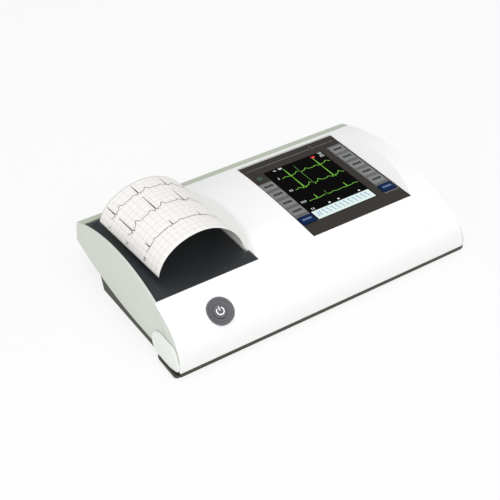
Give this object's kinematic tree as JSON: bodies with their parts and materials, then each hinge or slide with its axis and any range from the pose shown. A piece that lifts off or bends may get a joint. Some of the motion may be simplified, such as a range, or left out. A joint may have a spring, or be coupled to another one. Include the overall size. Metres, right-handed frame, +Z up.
{
  "type": "ecg machine",
  "caption": "Low arched desktop heart recorder with a recessed screen between two rows of keys, a power button and a lidded thermal chart printer feeding an arch of paper.",
  "frame": {"origin": "middle of the footprint, at table height under the rubber feet", "axes": "+X to the user's right along the width, +Y from the nose to the rear wall, +Z up"},
  "size_m": [0.2596, 0.152, 0.0723],
  "materials": {
    "white_plastic": "satin moulded, light",
    "sage_plastic": "fine moulded texture",
    "olive_plastic": "moulded texture",
    "black_plastic": "smooth, slightly glossy",
    "frame_plastic": "glass-filled, matte",
    "foot_rubber": "matte",
    "battery_sleeve": "shrink sleeve over cells",
    "steel": "plated",
    "gear_plastic": "acetal",
    "brass": "machined",
    "head_alloy": "milled",
    "paper": "thermal chart paper with a 5 mm grid",
    "panel_plastic": "printed film",
    "window": "clear over a dark display",
    "display": "glass and metal frame",
    "grey_keys": "silicone",
    "blue_keys": "silicone",
    "led": "translucent",
    "ring_plastic": "satin",
    "cap_plastic": "satin",
    "board": "solder mask"
  },
  "bodies": {
    "housing": {"lower_housing": "sage_plastic", "top_cover": "white_plastic", "base_tray": "olive_plastic", "rubber_feet": "foot_rubber", "corner_cap_left": "white_plastic", "corner_cap_right": "white_plastic", "battery_door": "olive_plastic", "battery_pack": "battery_sleeve", "housing_screws": "steel", "hinge_pins": "steel", "printer_frame": "frame_plastic", "shaft_bushes": "gear_plastic", "idler_pin": "steel", "stepper_motor": "steel", "print_head": "head_alloy", "head_springs": "steel", "tear_bar": "white_plastic", "paper_pad": "paper", "paper_web": "paper", "keypad_panel": "panel_plastic", "display_window": "window", "lcd_module": "display", "keypad_board_left": "board", "keypad_board_right": "board", "status_led": "led", "power_ring": "ring_plastic", "power_switch": "frame_plastic", "power_board": "board", "main_board": "board", "board_screws": "steel", "beeper": "frame_plastic", "input_board": "board", "shield_can": "steel", "patient_connector": "frame_plastic", "power_inlet": "frame_plastic", "data_port": "steel"},
    "printer_lid": {"printer_lid": "black_plastic", "chart_paper": "paper"},
    "platen": {"platen_shaft": "steel", "platen_roller": "foot_rubber", "platen_gear": "gear_plastic"},
    "idler": {"idler_gear": "gear_plastic"},
    "pinion": {"motor_pinion": "brass", "motor_shaft": "steel"},
    "power_cap": {"power_button": "cap_plastic"},
    "key_left_1": {"key_left_1": "grey_keys"},
    "key_left_2": {"key_left_2": "grey_keys"},
    "key_left_3": {"key_left_3": "grey_keys"},
    "key_left_4": {"key_left_4": "grey_keys"},
    "key_left_blue": {"key_left_blue": "blue_keys"},
    "key_right_1": {"key_right_1": "grey_keys"},
    "key_right_2": {"key_right_2": "grey_keys"},
    "key_right_3": {"key_right_3": "grey_keys"},
    "key_right_4": {"key_right_4": "grey_keys"},
    "key_right_5": {"key_right_5": "grey_keys"},
    "key_right_blue": {"key_right_blue": "blue_keys"}
  },
  "joints": [
    {"name": "lid_hinge", "type": "hinge", "parent": "housing", "child": "printer_lid", "pos_m": [-0.08103, 0.0628, 0.0384], "axis": [-1, 0, 0], "range_deg": [0, 85]},
    {"name": "platen_spin", "type": "hinge", "parent": "housing", "child": "platen", "pos_m": [-0.04653, 0, 0.0328], "axis": [0, -1, 0], "continuous": true},
    {"name": "idler_spin", "type": "hinge", "parent": "housing", "child": "idler", "pos_m": [-0.03448, -0.032, 0.02584], "axis": [0, -1, 0], "continuous": true},
    {"name": "pinion_spin", "type": "hinge", "parent": "housing", "child": "pinion", "pos_m": [-0.02295, -0.032, 0.02046], "axis": [0, -1, 0], "continuous": true},
    {"name": "power_press", "type": "slide", "parent": "housing", "child": "power_cap", "axis": [0, 0.5446, -0.8387], "range_m": [0, 0.0012], "stiffness_N_per_m": 600, "springref_m": -0.0012},
    {"name": "key_left_1_press", "type": "slide", "parent": "housing", "child": "key_left_1", "axis": [0, 0, -1], "range_m": [0, 0.0005], "stiffness_N_per_m": 400, "springref_m": -0.0005},
    {"name": "key_left_2_press", "type": "slide", "parent": "housing", "child": "key_left_2", "axis": [0, 0, -1], "range_m": [0, 0.0005], "stiffness_N_per_m": 400, "springref_m": -0.0005},
    {"name": "key_left_3_press", "type": "slide", "parent": "housing", "child": "key_left_3", "axis": [0, 0, -1], "range_m": [0, 0.0005], "stiffness_N_per_m": 400, "springref_m": -0.0005},
    {"name": "key_left_4_press", "type": "slide", "parent": "housing", "child": "key_left_4", "axis": [0, 0, -1], "range_m": [0, 0.0005], "stiffness_N_per_m": 400, "springref_m": -0.0005},
    {"name": "key_left_blue_press", "type": "slide", "parent": "housing", "child": "key_left_blue", "axis": [0, 0, -1], "range_m": [0, 0.0005], "stiffness_N_per_m": 400, "springref_m": -0.0005},
    {"name": "key_right_1_press", "type": "slide", "parent": "housing", "child": "key_right_1", "axis": [0, 0, -1], "range_m": [0, 0.0005], "stiffness_N_per_m": 400, "springref_m": -0.0005},
    {"name": "key_right_2_press", "type": "slide", "parent": "housing", "child": "key_right_2", "axis": [0, 0, -1], "range_m": [0, 0.0005], "stiffness_N_per_m": 400, "springref_m": -0.0005},
    {"name": "key_right_3_press", "type": "slide", "parent": "housing", "child": "key_right_3", "axis": [0, 0, -1], "range_m": [0, 0.0005], "stiffness_N_per_m": 400, "springref_m": -0.0005},
    {"name": "key_right_4_press", "type": "slide", "parent": "housing", "child": "key_right_4", "axis": [0, 0, -1], "range_m": [0, 0.0005], "stiffness_N_per_m": 400, "springref_m": -0.0005},
    {"name": "key_right_5_press", "type": "slide", "parent": "housing", "child": "key_right_5", "axis": [0, 0, -1], "range_m": [0, 0.0005], "stiffness_N_per_m": 400, "springref_m": -0.0005},
    {"name": "key_right_blue_press", "type": "slide", "parent": "housing", "child": "key_right_blue", "axis": [0, 0, -1], "range_m": [0, 0.0005], "stiffness_N_per_m": 400, "springref_m": -0.0005}
  ],
  "couplings": [
    {"joint": "idler_spin", "follows": "platen_spin", "ratio": -0.53333},
    {"joint": "pinion_spin", "follows": "platen_spin", "ratio": 1.3333}
  ]
}
